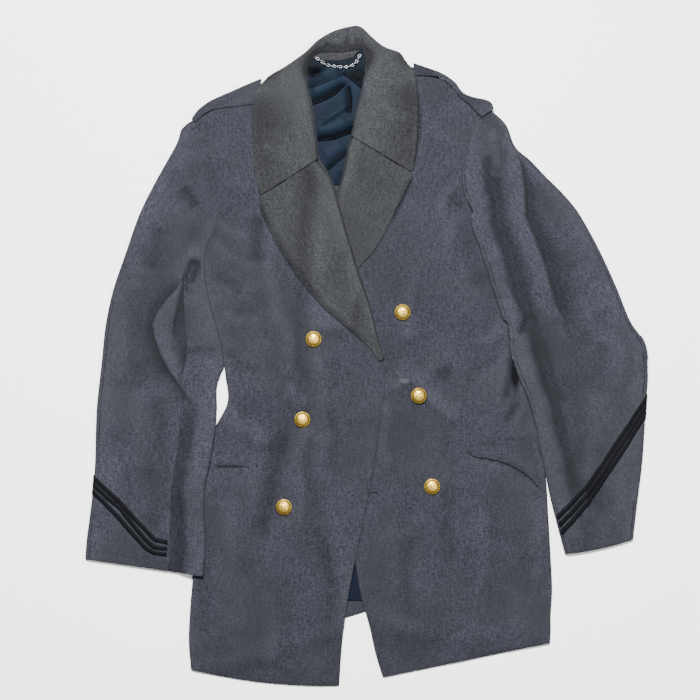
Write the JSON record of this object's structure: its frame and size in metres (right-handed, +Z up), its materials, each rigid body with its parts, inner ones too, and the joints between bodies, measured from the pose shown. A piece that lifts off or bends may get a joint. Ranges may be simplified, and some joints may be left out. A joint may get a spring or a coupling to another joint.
{
  "type": "cadet dress coat laid flat",
  "caption": "Double-breasted grey wool cadet coat laid flat on its back, with turned lapels, shoulder straps, braided cuffs and gilt domed buttons",
  "frame": {"origin": "middle of the footprint on the surface that the coat lies on", "axes": "+Y from the hem to the collar, +X towards the wearer's left side, +Z up off the surface"},
  "size_m": [0.798, 0.9342, 0.021],
  "materials": {
    "wool": "napped grey wool twill",
    "collar_wool": "worn grey wool twill",
    "lining": "navy satin",
    "braid": "flat woven braid",
    "gilt": "gilt",
    "steel": "bright plated"
  },
  "bodies": {
    "root": {"back_right": "wool", "back_left": "wool", "front_right": "wool", "front_left": "wool", "neck_lining": "lining", "hem_lining": "lining", "collar": "collar_wool", "neck_band": "collar_wool", "lapel_right": "collar_wool", "lapel_left": "collar_wool", "sleeve_right_top": "wool", "sleeve_right_under": "wool", "sleeve_left_top": "wool", "sleeve_left_under": "wool", "strap_right": "wool", "strap_left": "wool", "pocket_flap": "wool", "pocket_welt": "wool", "hanger_chain": "steel", "buttonhole_bar": "braid", "button_right_1": "gilt", "braid_right_1": "braid", "button_right_2": "gilt", "braid_right_2": "braid", "button_right_3": "gilt", "braid_right_3": "braid", "button_left_1": "gilt", "braid_left_1": "braid", "button_left_2": "gilt", "braid_left_2": "braid", "button_left_3": "gilt", "braid_left_3": "braid"}
  },
  "joints": []
}
